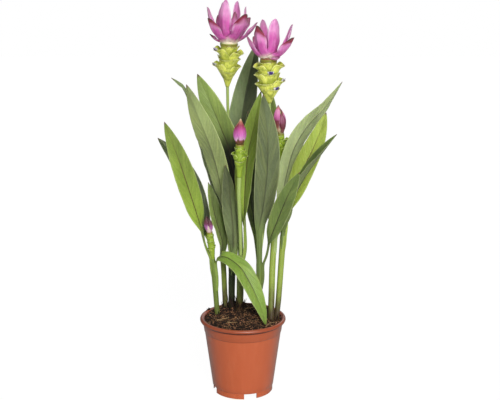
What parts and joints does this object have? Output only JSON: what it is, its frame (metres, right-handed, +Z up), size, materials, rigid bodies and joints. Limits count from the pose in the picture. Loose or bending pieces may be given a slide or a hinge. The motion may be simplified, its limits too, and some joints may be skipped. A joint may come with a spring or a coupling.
{
  "type": "potted flowering plant",
  "caption": "Potted Siam tulip: pink-crowned green flower heads and buds over broad pointed leaves, standing in soil in a round tapered plastic nursery pot.",
  "frame": {"origin": "middle of the whole plant seen from above, on the surface that the pot stands on", "axes": "+Z up along the stems, -Y towards the front of the plant, +X to the right seen from the front"},
  "size_m": [0.2594, 0.1795, 0.543],
  "materials": {
    "pot_plastic": "satin",
    "potting_mix": "matte",
    "stem_green": "satin",
    "leaf_green": "satin",
    "leaf_underside": "matte",
    "leaf_shaded": "satin",
    "bract_green": "satin",
    "bract_pink": "matte",
    "floret_petal": "matte"
  },
  "bodies": {
    "root": {"nursery_pot": "pot_plastic", "potting_soil": "potting_mix", "shoot_1": "stem_green", "shoot_2": "stem_green", "shoot_3": "stem_green", "shoot_4": "stem_green", "shoot_5": "stem_green", "shoot_6": "stem_green", "shoot_7": "stem_green", "leaf_far_left": "leaf_green", "leaf_far_left_behind": "leaf_shaded", "leaf_drooping": "leaf_green", "leaf_young_left": "leaf_green", "leaf_young_centre": "leaf_underside", "leaf_left_broad": "leaf_underside", "leaf_left_curled": "leaf_underside", "leaf_left_tall": "leaf_green", "leaf_back_tallest": "leaf_underside", "leaf_centre_bright": "leaf_green", "leaf_back_dark": "leaf_shaded", "leaf_centre_front": "leaf_underside", "leaf_front_right": "leaf_green", "leaf_right_long": "leaf_underside", "leaf_centre_behind": "leaf_shaded", "leaf_right_bright": "leaf_green", "leaf_right_folded": "leaf_green", "stalk_left_head": "stem_green", "stalk_right_head": "stem_green", "stalk_centre_bud": "stem_green", "stalk_right_bud": "stem_green", "head_left_cone": "bract_green", "head_left_coma": "bract_pink", "head_right_cone": "bract_green", "head_right_coma": "bract_pink", "bud_centre_cone": "bract_green", "bud_centre_coma": "bract_pink", "bud_right_cone": "bract_green", "bud_right_coma": "bract_pink", "bud_left_cone": "bract_green", "bud_left_coma": "bract_pink", "floret_1": "floret_petal", "floret_2": "floret_petal", "floret_3": "floret_petal", "floret_4": "floret_petal", "floret_5": "floret_petal"}
  },
  "joints": []
}
